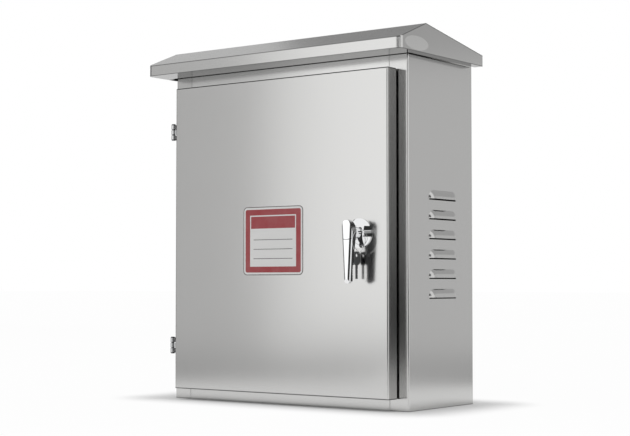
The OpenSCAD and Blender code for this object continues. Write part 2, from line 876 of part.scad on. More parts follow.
body_wrap();
top_panel();
bottom_panel();
hood();
hood_bracket(-1);  // hood_bracket_left
hood_bracket(1);  // hood_bracket_right
hood_bolts();
hood_nuts();
mounting_plate();
plate_studs();
plate_washers();
plate_nuts();
earth_stud();
earth_washer();
earth_nut();
cable_grommet(-1);  // cable_grommet_left
cable_grommet(1);  // cable_grommet_right
hinge_frame_leaf(hinge_high);  // hinge_upper_frame_leaf
hinge_door_leaf(hinge_high);  // hinge_upper_door_leaf
hinge_pin(hinge_high);  // hinge_upper_pin
hinge_frame_leaf(hinge_low);  // hinge_lower_frame_leaf
hinge_door_leaf(hinge_low);  // hinge_lower_door_leaf
hinge_pin(hinge_low);  // hinge_lower_pin
door_panel();
door_stiffener();
door_gasket();
door_earth_stud();
blank_label();
lock_body();
lock_back_nut();
lever();
keyhole_cover();
cover_pin();
lock_plug();
cam();
cam_washer();
cam_screw();
key_ring();
hung_key(1);  // key_near
hung_key(-1);  // key_far
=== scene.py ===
"""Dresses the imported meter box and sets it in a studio.

The box gets satin stainless sheet, a chrome lock, seals, fixings and a blank label.
"""

from __future__ import annotations

import logging
import math
from dataclasses import dataclass, field
from enum import Enum
from typing import Any, Callable, Mapping, Sequence, Union

import bpy
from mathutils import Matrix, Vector

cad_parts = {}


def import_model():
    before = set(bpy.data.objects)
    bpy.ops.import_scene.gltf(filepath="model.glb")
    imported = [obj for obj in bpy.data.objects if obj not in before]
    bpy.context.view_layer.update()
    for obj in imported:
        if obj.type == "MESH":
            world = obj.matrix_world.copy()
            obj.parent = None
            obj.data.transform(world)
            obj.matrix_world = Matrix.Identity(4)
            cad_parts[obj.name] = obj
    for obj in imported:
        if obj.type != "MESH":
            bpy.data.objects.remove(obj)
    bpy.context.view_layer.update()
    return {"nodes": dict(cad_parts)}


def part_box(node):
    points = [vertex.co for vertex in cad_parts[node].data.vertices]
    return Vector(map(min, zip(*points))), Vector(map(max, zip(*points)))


LOG = logging.getLogger("meter_box")

Value = Union["Wire", float, int]
Colour = tuple[float, float, float]
Point = tuple[float, float, float]

WHITE: Colour = (1.0, 1.0, 1.0)
POLISHED: Colour = (0.72, 0.725, 0.73)
BRASS: Colour = (0.68, 0.5, 0.2)
NICKEL: Colour = (0.24, 0.245, 0.25)

# A place in metres that lies beyond the box on every axis.
FAR = 9.0
# The height in metres of a card that lies on the floor.
MAT_LIFT = 0.002
# The part of a normal along an axis from which a face counts as facing that way.
FACING = 0.6
# The mean of a noise, which runs from 0 to 1.
NOISE_MEAN = 0.5
# The distance, in halves of a line's width, at which its mask has faded to 0.
LINE_FADE = 1.5


class Grain(Enum):
    """Direction in which a sheet was brushed, as the scale of its noise on each axis."""

    UPRIGHT = (900.0, 900.0, 7.0)
    ACROSS = (7.0, 900.0, 900.0)


class Axis(Enum):
    """An axis of the box's frame, by its number."""

    X = 0
    Y = 1
    Z = 2


class Wire:
    """A node's output socket that takes part in Python expressions."""

    def __init__(self, graph: "Graph", socket: bpy.types.NodeSocket | None) -> None:
        """Wraps one socket of one node tree, or none for a node without outputs."""
        self.graph = graph
        self.socket = socket

    def __add__(self, other: Value) -> "Wire":
        """Sum of two values."""
        return self.graph.maths("ADD", self, other)

    def __radd__(self, other: Value) -> "Wire":
        """Sum with a number on the left."""
        return self.graph.maths("ADD", other, self)

    def __sub__(self, other: Value) -> "Wire":
        """Difference of two values."""
        return self.graph.maths("SUBTRACT", self, other)

    def __rsub__(self, other: Value) -> "Wire":
        """Difference with a number on the left."""
        return self.graph.maths("SUBTRACT", other, self)

    def __mul__(self, other: Value) -> "Wire":
        """Product of two values."""
        return self.graph.maths("MULTIPLY", self, other)

    def __rmul__(self, other: Value) -> "Wire":
        """Product with a number on the left."""
        return self.graph.maths("MULTIPLY", other, self)

    def __truediv__(self, other: Value) -> "Wire":
        """Quotient of two values."""
        return self.graph.maths("DIVIDE", self, other)

    def __pow__(self, other: Value) -> "Wire":
        """Power of a value."""
        return self.graph.maths("POWER", self, other)

    def __lt__(self, other: Value) -> "Wire":
        """1 where this value is the smaller one, else 0."""
        return self.graph.maths("LESS_THAN", self, other)

    def __gt__(self, other: Value) -> "Wire":
        """1 where this value is the larger one, else 0."""
        return self.graph.maths("GREATER_THAN", self, other)

    def __abs__(self) -> "Wire":
        """Size of a value without its sign."""
        return self.graph.maths("ABSOLUTE", self, 0.0)

    def largest(self, other: Value) -> "Wire":
        """The larger of two values."""
        return self.graph.maths("MAXIMUM", self, other)

    def smallest(self, other: Value) -> "Wire":
        """The smaller of two values."""
        return self.graph.maths("MINIMUM", self, other)

    def held(self) -> "Wire":
        """The value held between 0 and 1."""
        return self.largest(0.0).smallest(1.0)


class Graph:
    """Builds one node tree from expressions and a single node method."""

    def __init__(self, tree: bpy.types.NodeTree) -> None:
        """Empties the tree and keeps it."""
        self.tree = tree
        tree.nodes.clear()

    def node(self, kind: str, settings: Mapping[str, Any] | None = None,
             inputs: Mapping[str | int, Any] | None = None, output: str | int = 0) -> Wire:
        """Adds a node of any type.

        Args:
            kind: The node's type name.
            settings: Properties of the node, set before the sockets.
            inputs: Values or wires by socket name or number.
            output: Name or number of the output that is returned.

        Returns:
            The chosen output as a wire.
        """
        made = self.tree.nodes.new(kind)
        for name, value in (settings or {}).items():
            setattr(made, name, value)
        for name, value in (inputs or {}).items():
            self.feed(made.inputs[name], value)
        return Wire(self, made.outputs[output] if made.outputs else None)

    def feed(self, socket: bpy.types.NodeSocket, value: Any) -> None:
        """Links a wire to a socket or sets its value.

        Args:
            socket: The input socket.
            value: A wire, a number, a vector or a colour with or without alpha.
        """
        if isinstance(value, Wire):
            self.tree.links.new(value.socket, socket)
        elif socket.type == "RGBA" and len(value) == 3:
            socket.default_value = (*value, 1.0)
        else:
            socket.default_value = value

    def maths(self, operation: str, first: Value, second: Value) -> Wire:
        """Adds one Math node for two values."""
        return self.node("ShaderNodeMath", {"operation": operation}, {0: first, 1: second})

    def mix(self, factor: Value, first: Any, second: Any) -> Wire:
        """Mixes two colours by a factor."""
        inputs = {0: factor, 6: first, 7: second}
        return self.node("ShaderNodeMix", {"data_type": "RGBA"}, inputs, output=2)

    def place(self) -> Wire:
        """The point's place in the object's own frame, in metres."""
        return self.node("ShaderNodeTexCoord", output="Object")

    def axes(self, vector: Wire) -> tuple[Wire, Wire, Wire]:
        """The three numbers of a vector."""
        split = self.node("ShaderNodeSeparateXYZ", None, {0: vector})
        return tuple(Wire(self, socket) for socket in split.socket.node.outputs)

    def facing(self, axis: Axis) -> Wire:
        """The part of the normal along one axis of the object's own frame."""
        return self.axes(self.node("ShaderNodeTexCoord", output="Normal"))[axis.value]

    def stretched(self, place: Wire, scale: Sequence[float]) -> Wire:
        """A place multiplied by a scale on each axis."""
        inputs = {0: place, 1: tuple(scale)}
        return self.node("ShaderNodeVectorMath", {"operation": "MULTIPLY"}, inputs)

    def noise(self, place: Wire, scale: float, detail: float = 2.0,
              roughness: float = 0.5) -> Wire:
        """Soft noise from 0 to 1."""
        inputs = {"Vector": place, "Scale": scale, "Detail": detail, "Roughness": roughness}
        return self.node("ShaderNodeTexNoise", None, inputs)

    def bump(self, height: Wire, strength: float, distance: float) -> Wire:
        """A normal raised by a height."""
        inputs = {"Strength": strength, "Distance": distance, "Height": height}
        return self.node("ShaderNodeBump", None, inputs)


def toned(colour: Colour, tone: float) -> Colour:
    """A colour made darker or lighter by a factor."""
    return tuple(tone * part for part in colour)


def square_sum(first: Wire, second: Wire) -> Wire:
    """Sum of the squares of two values."""
    return first * first + second * second


def line_mask(away: Wire, half: float) -> Wire:
    """1 on a line and 0 beside it, from the distance to its middle and half its width."""
    return (LINE_FADE - away / half).held()


def painted(name: str, surface: Callable[[Graph], Wire]) -> bpy.types.Material:
    """Makes a material.

    Args:
        name: The material's name.
        surface: Builds the shader in the material's node tree.

    Returns:
        The material, ready to be put on a mesh.
    """
    made = bpy.data.materials.new(name)
    made.use_nodes = True
    graph = Graph(made.node_tree)
    graph.node("ShaderNodeOutputMaterial", None, {"Surface": surface(graph)})
    return made


def panel(name: str, points: Sequence[Point], faces: Sequence[Sequence[int]],
          paint: bpy.types.Material) -> bpy.types.Object:
    """Makes a mesh for the studio and links it to the scene.

    Args:
        name: The name of the object and its mesh.
        points: The mesh's points in metres.
        faces: The faces as numbers of points.
        paint: The material it gets.

    Returns:
        The object.
    """
    mesh = bpy.data.meshes.new(name)
    mesh.from_pydata(points, [], faces)
    mesh.materials.append(paint)
    made = bpy.data.objects.new(name, mesh)
    bpy.context.scene.collection.objects.link(made)
    return made


@dataclass(frozen=True)
class Finish:
    """What every finish has: its name and the way to turn it into a material."""

    name: str

    def shade(self, graph: Graph) -> dict[str, Any]:
        """Gives the shader's inputs.

        Args:
            graph: The material's node tree.

        Returns:
            The inputs by name.
        """
        raise NotImplementedError

    def surface(self, graph: Graph) -> Wire:
        """The finish as a shader."""
        return graph.node("ShaderNodeBsdfPrincipled", None, self.shade(graph))

    def material(self) -> bpy.types.Material:
        """The finish as a material, ready to be put on a mesh."""
        return painted(self.name, self.surface)


@dataclass(frozen=True)
class ShadeAndJointLine:
    """A dark line where a sheet meets a plane, kept between two places on one axis: painted shade
    along bends and edges, and dark joints.
    """

    facing: Point
    at: float
    along: Axis = Axis.Z
    start: float = -FAR
    end: float = FAR
    half: float = 0.001

    @classmethod
    def level(cls, height: float, along: Axis = Axis.Z, start: float = -FAR,
              end: float = FAR) -> "ShadeAndJointLine":
        """A level line at one height."""
        return cls((0.0, 0.0, 1.0), height, along, start, end)

    @classmethod
    def upright(cls, place: float) -> "ShadeAndJointLine":
        """An upright line at one place on X."""
        return cls((1.0, 0.0, 0.0), place)

    @classmethod
    def slope(cls, first: Sequence[float], second: Sequence[float], start: float,
              end: float) -> "ShadeAndJointLine":
        """A sloping line through two points, kept between two places on X.

        Args:
            first: One point's Y and Z.
            second: The other point's Y and Z.
            start: The first place on X.
            end: The last place on X.

        Returns:
            The line.
        """
        run, rise = second[0] - first[0], second[1] - first[1]
        length = math.hypot(run, rise)
        facing = (0.0, -rise / length, run / length)
        return cls(facing, facing[1] * first[0] + facing[2] * first[1], Axis.X, start, end)

    def mask(self, place: Sequence[Wire]) -> Wire:
        """Marks the line.

        Args:
            place: The point's three numbers.

        Returns:
            1 on the line and 0 beside it.
        """
        x, y, z = (part * wire for part, wire in zip(self.facing, place))
        line = line_mask(abs(x + y + z - self.at), self.half)
        where = place[self.along.value]
        return line * (where > self.start) * (where < self.end)


@dataclass(frozen=True)
class HighlightPatch:
    """A painted highlight on the two ends of a sheet: a lighter, hazier ellipse in Y and Z."""

    y: float
    z: float
    half_y: float
    half_z: float
    beyond: float
    steepness: float = 5.0

    def mask(self, place: Sequence[Wire]) -> Wire:
        """Marks the patch.

        Args:
            place: The point's three numbers.

        Returns:
            1 on the patch and 0 beside it, with a soft edge.
        """
        x, y, z = place
        over = square_sum((y - self.y) / self.half_y, (z - self.z) / self.half_z)
        return (self.steepness * (1.0 - over)).held() * (abs(x) > self.beyond)


@dataclass(frozen=True)
class Seam:
    """A dark round joint line in X and Z, in front of one place on Y."""

    x: float
    z: float
    radius: float
    front: float
    half: float

    def mask(self, place: Sequence[Wire]) -> Wire:
        """Marks the line.

        Args:
            place: The point's three numbers.

        Returns:
            1 on the line and 0 beside it.
        """
        x, y, z = place
        away = abs(square_sum(x - self.x, z - self.z) ** 0.5 - self.radius)
        return line_mask(away, self.half) * (y < self.front)


@dataclass(frozen=True)
class SatinSteel(Finish):
    """Stainless sheet with a fine brushed grain, a cloudy sheen and faint waves.

    Where asked it has painted shade and dark joints as lines, painted highlights and a painted
    lighter underside.
    """

    grain: Grain = Grain.UPRIGHT
    colour: Colour = (0.61, 0.608, 0.6)
    roughness: float = 0.17
    brush_spread: float = 0.05
    brush_tone: float = 0.94
    brush_depth: float = 0.0000012
    cloud_spread: float = 0.025
    cloud_tone: float = 0.965
    cloud_scale: float = 9.0
    wave_scale: float = 4.5
    wave_depth: float = 0.00025
    # Dark lines: painted shade along bends and edges, and dark joints where parts meet.
    shade_and_joint_lines: tuple[ShadeAndJointLine, ...] = ()
    shade_and_joint_tone: float = 0.28
    # Painted highlights: lighter, hazier spots.
    highlight_patches: tuple[HighlightPatch, ...] = ()
    highlight_tone: float = 1.18
    highlight_haze: float = 0.05
    # Painted light: down-facing faces are lightened by this factor.
    painted_underside_light: float = 1.0

    def shade(self, graph: Graph) -> dict[str, Any]:
        """Gives the shader's inputs.

        Args:
            graph: The material's node tree.

        Returns:
            The inputs by name.
        """
        place = graph.place()
        grain = graph.stretched(place, self.grain.value)
        brush = graph.noise(grain, scale=1.0, detail=3.0, roughness=0.65)
        cloud = graph.noise(place, self.cloud_scale, detail=3.0)
        wave = graph.noise(place, self.wave_scale, detail=0.0)
        tone = graph.mix(cloud, toned(self.colour, self.cloud_tone), self.colour)
        tone = graph.mix(brush, toned(self.colour, self.brush_tone), tone)
        rough = self.roughness + self.brush_spread * (brush - NOISE_MEAN)
        rough = rough + self.cloud_spread * (cloud - NOISE_MEAN)
        split = graph.axes(place)
        # Painted highlight: lighter, hazier spots.
        for highlight in self.highlight_patches:
            highlight_mask = highlight.mask(split)
            tone = graph.mix(highlight_mask, tone, toned(self.colour, self.highlight_tone))
            rough = rough + self.highlight_haze * highlight_mask
        # Painted light: down-facing faces are made lighter.
        if self.painted_underside_light != 1.0:
            under = graph.facing(Axis.Z) < -FACING
            tone = graph.mix(under, tone, toned(self.colour, self.painted_underside_light))
        # Painted shade along bends and edges, and dark joints, drawn as dark lines.
        for dark_line in self.shade_and_joint_lines:
            tone = graph.mix(dark_line.mask(split), tone, toned(self.colour, self.shade_and_joint_tone))
        height = self.wave_depth * wave + self.brush_depth * brush
        normal = graph.bump(height, strength=1.0, distance=1.0)
        return {"Base Color": tone, "Metallic": 1.0, "Roughness": rough, "Normal": normal}


@dataclass(frozen=True)
class BrightPlate(Finish):
    """Polished plate, such as chrome, with a faint haze.

    Where asked its back is darkened as painted shade, and it has dark joints.
    """

    colour: Colour = (0.86, 0.865, 0.87)
    roughness: float = 0.04
    haze: float = 0.04
    smear_tone: float = 0.95
    smear_scale: float = 160.0
    # Painted shade: back-facing faces darkened and hazier. The same dark colour draws joints.
    shaded_back: bool = False
    shade_and_joint_colour: Colour = (0.1, 0.1, 0.105)
    back_haze: float = 0.35
    joints: tuple[ShadeAndJointLine | Seam, ...] = ()

    def shade(self, graph: Graph) -> dict[str, Any]:
        """Gives the shader's inputs.

        Args:
            graph: The material's node tree.

        Returns:
            The inputs by name.
        """
        place = graph.place()
        smear = graph.noise(place, self.smear_scale)
        tone = graph.mix(smear, toned(self.colour, self.smear_tone), self.colour)
        rough = self.roughness + self.haze * smear * smear
        # Painted shade: back-facing faces are darkened.
        if self.shaded_back:
            back = graph.facing(Axis.Y) > FACING
            tone = graph.mix(back, tone, self.shade_and_joint_colour)
            rough = rough + self.back_haze * back
        split = graph.axes(place)
        for joint in self.joints:
            tone = graph.mix(joint.mask(split), tone, self.shade_and_joint_colour)
        return {"Base Color": tone, "Metallic": 1.0, "Roughness": rough}


@dataclass(frozen=True)
class PlatedFixing(Finish):
    """Zinc, brass or nickel with a dulled, mottled tone."""

    colour: Colour = (0.58, 0.6, 0.61)
    roughness: float = 0.32
    spread: float = 0.14
    mottle: float = 0.25
    mottle_scale: float = 240.0
    mottle_depth: float = 0.00002

    def shade(self, graph: Graph) -> dict[str, Any]:
        """Gives the shader's inputs.

        Args:
            graph: The material's node tree.

        Returns:
            The inputs by name.
        """
        mottle = graph.noise(graph.place(), self.mottle_scale, detail=4.0)
        tone = graph.mix(mottle, toned(self.colour, 1.0 - self.mottle), self.colour)
        rough = self.roughness + self.spread * (mottle - NOISE_MEAN)
        normal = graph.bump(mottle, strength=0.2, distance=self.mottle_depth)
        return {"Base Color": tone, "Metallic": 1.0, "Roughness": rough, "Normal": normal}


@dataclass(frozen=True)
class Spangle(Finish):
    """Galvanised sheet with flat crystals of slightly different tones."""

    colour: Colour = (0.56, 0.58, 0.6)
    roughness: float = 0.34
    spread: float = 0.16
    crystal_tone: float = 0.78
    crystal_scale: float = 70.0

    def shade(self, graph: Graph) -> dict[str, Any]:
        """Gives the shader's inputs.

        Args:
            graph: The material's node tree.

        Returns:
            The inputs by name.
        """
        inputs = {"Vector": graph.place(), "Scale": self.crystal_scale}
        cells = graph.node("ShaderNodeTexVoronoi", None, inputs, output="Color")
        level = graph.axes(cells)[0]
        tone = graph.mix(level, toned(self.colour, self.crystal_tone), self.colour)
        rough = self.roughness + self.spread * level
        return {"Base Color": tone, "Metallic": 1.0, "Roughness": rough}


@dataclass(frozen=True)
class SealFoam(Finish):
    """Black cellular rubber."""

    colour: Colour = (0.02, 0.02, 0.021)
    roughness: float = 0.72
    spread: float = 0.2
    pore_tone: float = 0.6
    wall_tone: float = 1.5
    pore_scale: float = 900.0
    pore_depth: float = 0.0002

    def shade(self, graph: Graph) -> dict[str, Any]:
        """Gives the shader's inputs.

        Args:
            graph: The material's node tree.

        Returns:
            The inputs by name.
        """
        pores = graph.noise(graph.place(), self.pore_scale)
        dark, light = toned(self.colour, self.pore_tone), toned(self.colour, self.wall_tone)
        rough = self.roughness + self.spread * (pores - NOISE_MEAN)
        normal = graph.bump(pores, strength=0.5, distance=self.pore_depth)
        return {"Base Color": graph.mix(pores, dark, light), "Roughness": rough, "Normal": normal}


@dataclass(frozen=True)
class LabelFilm(Finish):
    """A printed film with a keyline, a white margin, a red frame, a band and blank ruled fields."""

    centre: Point
    half_w: float
    half_h: float
    corner: float = 0.008
    least_corner: float = 0.0005
    keyline: float = 0.0012
    margin: float = 0.0045
    frame: float = 0.0145
    band_inset: float = 0.0165
    band_end: float = 0.037
    rule_heights: tuple[float, ...] = (0.002, -0.014, -0.03)
    rule_inset: float = 0.022
    rule_half: float = 0.0005
    red: Colour = (0.33, 0.012, 0.02)
    white: Colour = (0.78, 0.78, 0.77)
    ink: Colour = (0.03, 0.015, 0.015)
    roughness: float = 0.3
    spread: float = 0.12
    fading: float = 0.12
    wear_scale: float = 60.0
    wear_depth: float = 0.0001

    def _inside(self, x: Wire, z: Wire, inset: float) -> Wire:
        """Marks the label's rounded outline, shrunk by an inset.

        Args:
            x: Place across the label, from its middle.
            z: Place up the label, from its middle.
            inset: Distance from the label's edge in metres.

        Returns:
            1 inside the outline and 0 outside it.
        """
        radius = max(self.corner - inset, self.least_corner)
        over_x = (abs(x) - (self.half_w - inset - radius)).largest(0.0)
        over_z = (abs(z) - (self.half_h - inset - radius)).largest(0.0)
        return square_sum(over_x, over_z) < radius * radius

    def shade(self, graph: Graph) -> dict[str, Any]:
        """Gives the shader's inputs.

        Args:
            graph: The material's node tree.

        Returns:
            The inputs by name.
        """
        place = graph.place()
        across, _, up = graph.axes(place)
        x, z = across - self.centre[0], up - self.centre[2]
        paint: Any = self.ink
        for inset, colour in ((self.keyline, self.white), (self.margin, self.red),
                              (self.frame, self.white)):
            paint = graph.mix(self._inside(x, z, inset), paint, colour)
        band = self._inside(x, z, self.band_inset) * (z > self.half_h - self.band_end)
        paint = graph.mix(band, paint, self.red)
        for height in self.rule_heights:
            rule = (abs(z - height) < self.rule_half) * (abs(x) < self.half_w - self.rule_inset)
            paint = graph.mix(rule, paint, self.ink)
        wear = graph.noise(place, self.wear_scale, detail=4.0)
        paint = graph.mix(self.fading * wear, paint, self.white)
        rough = self.roughness + self.spread * wear
        normal = graph.bump(wear, strength=0.05, distance=self.wear_depth)
        return {"Base Color": paint, "Roughness": rough, "Normal": normal}


@dataclass
class Finishes:
    """The finishes that several pieces share, each made once."""

    upright: bpy.types.Material = field(init=False)
    across: bpy.types.Material = field(init=False)
    polished: bpy.types.Material = field(init=False)
    chrome: bpy.types.Material = field(init=False)
    zinc: bpy.types.Material = field(init=False)
    brass: bpy.types.Material = field(init=False)
    galvanised: bpy.types.Material = field(init=False)
    nickel: bpy.types.Material = field(init=False)
    foam: bpy.types.Material = field(init=False)

    def __post_init__(self) -> None:
        """Builds the materials."""
        self.upright = SatinSteel("satin_steel_upright").material()
        self.across = SatinSteel("satin_steel_across", grain=Grain.ACROSS).material()
        polished = BrightPlate("polished_steel", POLISHED, roughness=0.1, haze=0.08)
        self.polished = polished.material()
        self.chrome = BrightPlate("chrome_plate").material()
        self.zinc = PlatedFixing("zinc_plate").material()
        self.brass = PlatedFixing("brass", BRASS, roughness=0.28).material()
        self.galvanised = Spangle("galvanised_sheet").material()
        self.nickel = PlatedFixing("key_nickel", NICKEL, roughness=0.3).material()
        self.foam = SealFoam("seal_foam").material()


@dataclass
class Dresser:
    """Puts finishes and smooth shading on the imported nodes."""

    nodes: Mapping[str, bpy.types.Object]
    sharp_from: float = 30.0

    def dress(self, names: Sequence[str], material: bpy.types.Material) -> None:
        """Gives nodes a finish and shades their curved faces smoothly.

        Args:
            names: The nodes to dress.
            material: The finish they get.
        """
        for name in names:
            mesh = self.nodes[name].data
            mesh.materials.clear()
            mesh.materials.append(material)
            for face in mesh.polygons:
                face.use_smooth = True
            mesh.set_sharp_from_angle(angle=math.radians(self.sharp_from))
            LOG.info("dressed %s with %s", name, material.name)


@dataclass
class Assembly:
    """What every sub-assembly has: the dresser of its nodes and the shared finishes."""

    dresser: Dresser
    finishes: Finishes

    def dress(self) -> None:
        """Dresses the sub-assembly's nodes."""
        raise NotImplementedError


@dataclass
class Cabinet(Assembly):
    """The folded cabinet, its hood and what is bolted inside it."""

    fascia: float = 0.0187
    ridge_back: float = 0.0754
    rake: float = 0.0012
    eave_strip: float = 0.004
    gable_strip: float = 0.004
    # Where the painted highlight sits on each gable, near the hood's front corner.
    highlight_back: float = 0.048
    highlight_lift: float = 0.004
    highlight_half_y: float = 0.036
    highlight_half_z: float = 0.012
    # Painted light: the hood's underside is lightened by this factor.
    painted_soffit_light: float = 1.42
    # Painted light: the header is a lighter copy of the sheet's colour.
    lightened_header_colour: Colour = (0.66, 0.658, 0.65)

    def _hood_finish(self) -> SatinSteel:
        """Gives the hood's sheet painted shade along its bends, painted highlights near its front
        corners and a painted lighter underside.

        Returns:
            The hood's finish.
        """
        low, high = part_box("hood")
        eave = low.z + self.fascia
        front, ridge = (low.y, eave), (low.y + self.ridge_back, high.z)
        rear = (high.y, eave)
        # Painted shade: dark lines along the hood's lower edge, eave and rakes.
        shade_and_joint_lines = [ShadeAndJointLine.level(low.z), ShadeAndJointLine.level(eave, Axis.Y, end=low.y + self.eave_strip)]
        for start, end in ((-FAR, low.x + self.rake), (high.x - self.rake, FAR)):
            shade_and_joint_lines += [ShadeAndJointLine.slope(front, ridge, start, end), ShadeAndJointLine.slope(ridge, rear, start, end)]
        # Painted highlight: a lighter spot on each gable near the front corner.
        gable_highlight = HighlightPatch(low.y + self.highlight_back, low.z + 0.5 * self.fascia + self.highlight_lift,
                     self.highlight_half_y, self.highlight_half_z, high.x - self.gable_strip)
        return SatinSteel("satin_steel_hood_painted_light", Grain.ACROSS, shade_and_joint_lines=tuple(shade_and_joint_lines), highlight_patches=(gable_highlight,),
                          painted_underside_light=self.painted_soffit_light)

    def dress(self) -> None:
        """Dresses the cabinet's nodes."""
        put, shared = self.dresser.dress, self.finishes
        # Painted shadow: a dark line along the bottom of the box.
        base_shadow_line = ShadeAndJointLine.level(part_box("body_wrap")[0].z)
        put(["body_wrap"], SatinSteel("satin_steel_wrap_painted_shade", shade_and_joint_lines=(base_shadow_line,)).material())
        put(["hood"], self._hood_finish().material())
        # Painted light: the header's sheet is lighter. The lines at its ends are dark joints.
        low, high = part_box("top_panel")
        ends = (ShadeAndJointLine.upright(low.x), ShadeAndJointLine.upright(high.x))
        header = SatinSteel("satin_steel_top_lightened", Grain.ACROSS, self.lightened_header_colour, shade_and_joint_lines=ends)
        put(["top_panel"], header.material())
        put(["bottom_panel", "hood_bracket_left", "hood_bracket_right"], shared.across)
        put(["mounting_plate"], shared.galvanised)
        put(["hood_bolts", "hood_nuts", "plate_studs", "plate_washers", "plate_nuts",
             "earth_washer"], shared.zinc)
        put(["earth_stud", "earth_nut"], shared.brass)
        put(["cable_grommet_left", "cable_grommet_right"], shared.foam)


@dataclass
class Hinges(Assembly):
    """Two pin hinges at the door's left edge."""

    knuckles: int = 3
    knuckle_reach: float = 0.0043
    pin_head: float = 0.0012
    roughness: float = 0.06
    haze: float = 0.05

    def _joints(self, pin: str) -> tuple[ShadeAndJointLine, ...]:
        """Finds the dark lines where a pin's knuckles end.

        Args:
            pin: The pin's node.

        Returns:
            The lines from the lowest to the highest.
        """
        low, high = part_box(pin)
        mid = (low.y + high.y) / 2
        reach = self.knuckle_reach
        first, last = low.z + self.pin_head, high.z - self.pin_head
        heights = [first + (last - first) * i / self.knuckles for i in range(self.knuckles + 1)]
        return tuple(ShadeAndJointLine.level(height, Axis.Y, mid - reach, mid + reach) for height in heights)

    def dress(self) -> None:
        """Dresses the leaves and pins."""
        for level in ("upper", "lower"):
            pin = f"hinge_{level}_pin"
            steel = BrightPlate(f"polished_steel_{level}", POLISHED, self.roughness, self.haze,
                                joints=self._joints(pin))
            pieces = [f"hinge_{level}_frame_leaf", f"hinge_{level}_door_leaf", pin]
            self.dresser.dress(pieces, steel.material())


@dataclass
class Door(Assembly):
    """The tray door with its gasket, stiffener and blank label."""

    rim: float = 0.0006

    def dress(self) -> None:
        """Dresses the door's nodes."""
        put, shared = self.dresser.dress, self.finishes
        low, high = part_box("door_panel")
        # Painted shade: dark lines just inside the door's top and bottom edges.
        edges = (ShadeAndJointLine.level(low.z + self.rim), ShadeAndJointLine.level(high.z - self.rim))
        put(["door_panel"], SatinSteel("satin_steel_door_painted_shade", shade_and_joint_lines=edges).material())
        put(["door_stiffener"], shared.upright)
        put(["door_gasket"], shared.foam)
        put(["door_earth_stud"], shared.brass)
        low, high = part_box("blank_label")
        half = (high - low) / 2
        film = LabelFilm("label_film", tuple((low + high) / 2), half.x, half.z)
        put(["blank_label"], film.material())


@dataclass
class Lock(Assembly):
    """The lever lock, its cam and the keys on their ring."""

    seam_half: float = 0.0006

    def _seam(self) -> Seam:
        """Finds the joint between the lever and the keyhole cover that swings on its pin.

        Returns:
            The joint's dark line.
        """
        low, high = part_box("keyhole_cover")
        pin = sum(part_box("cover_pin"), Vector()) / 2
        return Seam(pin.x, pin.z, pin.z - low.z, high.y, self.seam_half)

    def dress(self) -> None:
        """Dresses the lock's nodes."""
        put, shared = self.dresser.dress, self.finishes
        joints = (self._seam(),)
        put(["lock_body"], shared.chrome)
        # Painted shade: the lever's back is darkened, which darkens its reflection in the door.
        lever = BrightPlate("chrome_plate_lever_painted_shade", shaded_back=True, joints=joints)
        put(["lever"], lever.material())
        cover = BrightPlate("chrome_plate_cover", joints=joints)
        put(["keyhole_cover"], cover.material())
        put(["cover_pin", "lock_back_nut", "cam", "cam_washer", "cam_screw"], shared.zinc)
        put(["lock_plug"], shared.brass)
        put(["key_ring"], shared.polished)
        put(["key_near", "key_far"], shared.nickel)


@dataclass(frozen=True)
class Card:
    """A studio card round the box, between two angles counted from the front to the right."""

    name: str
    start: float
    end: float
    low: float
    high: float
    reach: float
    level: float
    top_reach: float = 0.0
    step: float = 3.0

    @classmethod
    def mat(cls, name: str, start: float, end: float, near: float, far: float,
            level: float) -> "Card":
        """A card that lies on the floor, between two distances from the box's middle."""
        return cls(name, start, end, MAT_LIFT, MAT_LIFT, near, level, far)

    def _glow(self, graph: Graph) -> Wire:
        """The card's own even light."""
        inputs = {"Color": WHITE, "Strength": self.level}
        return graph.node("ShaderNodeEmission", None, inputs)

    def build(self) -> None:
        """Makes the card as a curved strip that only reflections show."""
        span = self.end - self.start
        count = round(span / self.step)
        turns = [math.radians(self.start + span * i / count) for i in range(count + 1)]
        edges = ((self.reach, self.low), (self.top_reach or self.reach, self.high))
        points = [(reach * math.sin(turn), -reach * math.cos(turn), height)
                  for reach, height in edges for turn in turns]
        faces = [(i, i + 1, count + 2 + i, count + 1 + i) for i in range(count)]
        card = panel(self.name, points, faces, painted(self.name, self._glow))
        card.visible_camera = False
        card.visible_shadow = False
        LOG.info("stood up %s", self.name)


@dataclass(frozen=True)
class Lamp:
    """A soft square lamp that shows neither to the camera nor in reflections."""

    name: str
    place: Point
    aim: Point
    power: float
    size: float = 1.8

    def build(self) -> None:
        """Hangs the lamp and turns it to the point that it faces."""
        light = bpy.data.lights.new(self.name, "AREA")
        light.shape = "SQUARE"
        light.size = self.size
        light.energy = self.power
        lamp = bpy.data.objects.new(self.name, light)
        lamp.location = self.place
        turn = (Vector(self.aim) - Vector(self.place)).to_track_quat("-Z", "Y")
        lamp.rotation_euler = turn.to_euler()
        lamp.visible_camera = False
        lamp.visible_glossy = False
        bpy.context.scene.collection.objects.link(lamp)
        LOG.info("hung %s", self.name)


